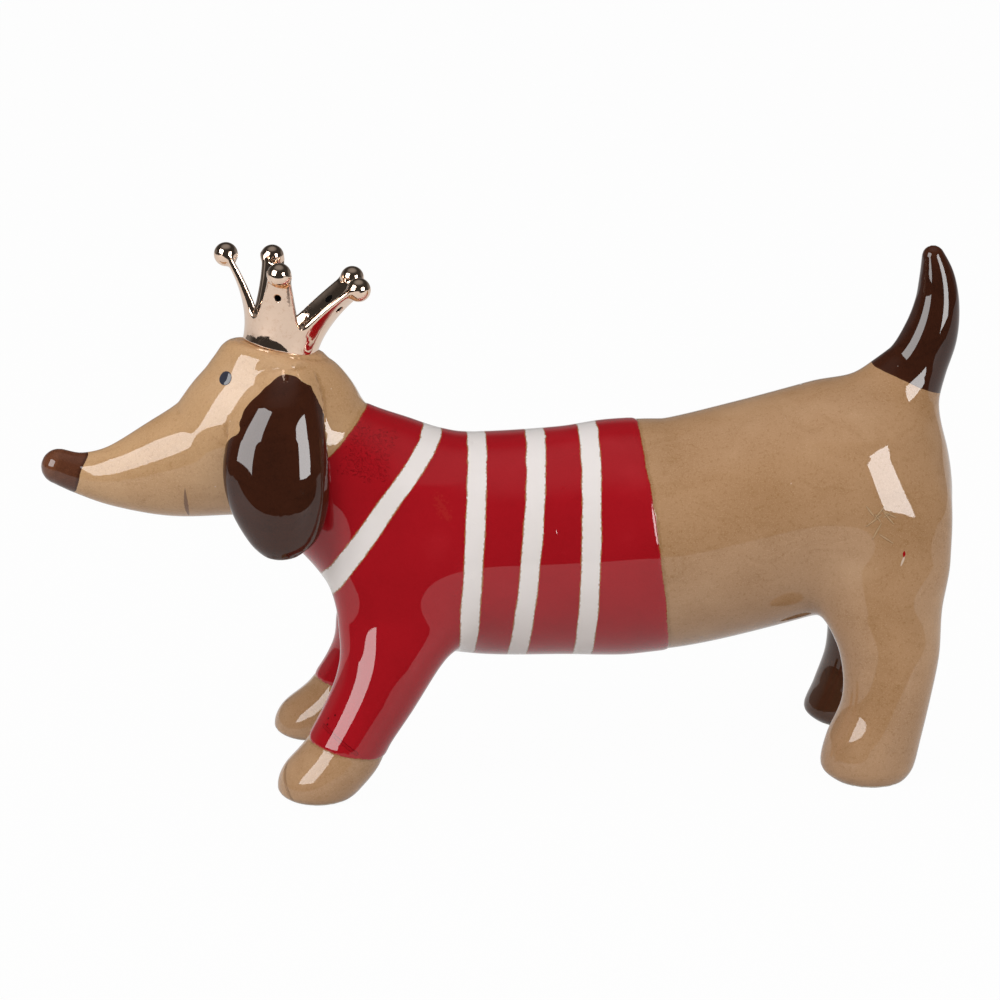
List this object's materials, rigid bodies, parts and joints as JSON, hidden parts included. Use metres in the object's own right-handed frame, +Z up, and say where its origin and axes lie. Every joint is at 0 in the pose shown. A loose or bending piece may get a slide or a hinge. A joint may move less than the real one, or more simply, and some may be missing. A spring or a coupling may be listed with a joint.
{
  "type": "dachshund figurine",
  "caption": "Glazed ceramic dachshund standing in a red striped sweater, long snout, hanging ears, upright tail, small plated crown glued on its head.",
  "frame": {"origin": "on the surface it stands on, under the middle of the whole object", "axes": "+Z up; the dog looks along -X, and its left side is towards -Y"},
  "size_m": [0.2136, 0.066, 0.1254],
  "materials": {
    "tan_glaze": "gloss",
    "red_glaze": "gloss",
    "white_glaze": "gloss",
    "brown_glaze": "gloss",
    "nose_glaze": "gloss",
    "leg_glaze": "gloss",
    "eye_enamel": "gloss",
    "bare_bisque": "matte",
    "rose_gold_plating": "polished",
    "clear_glue": "gloss"
  },
  "bodies": {
    "root": {"body_casting": "tan_glaze", "head_casting": "tan_glaze", "tail": "brown_glaze", "nose_cap": "nose_glaze", "sweater": "red_glaze", "neck_stripe": "white_glaze", "chest_stripe": "white_glaze", "belly_stripe": "white_glaze", "back_stripe": "white_glaze", "left_ear": "brown_glaze", "left_eye": "eye_enamel", "left_sleeve": "red_glaze", "left_front_leg": "tan_glaze", "left_hind_leg": "tan_glaze", "left_front_sole": "bare_bisque", "left_hind_sole": "bare_bisque", "right_ear": "brown_glaze", "right_eye": "eye_enamel", "right_sleeve": "red_glaze", "right_front_leg": "tan_glaze", "right_hind_leg": "leg_glaze", "right_front_sole": "bare_bisque", "right_hind_sole": "bare_bisque", "crown": "rose_gold_plating", "crown_glue": "clear_glue"}
  },
  "joints": []
}
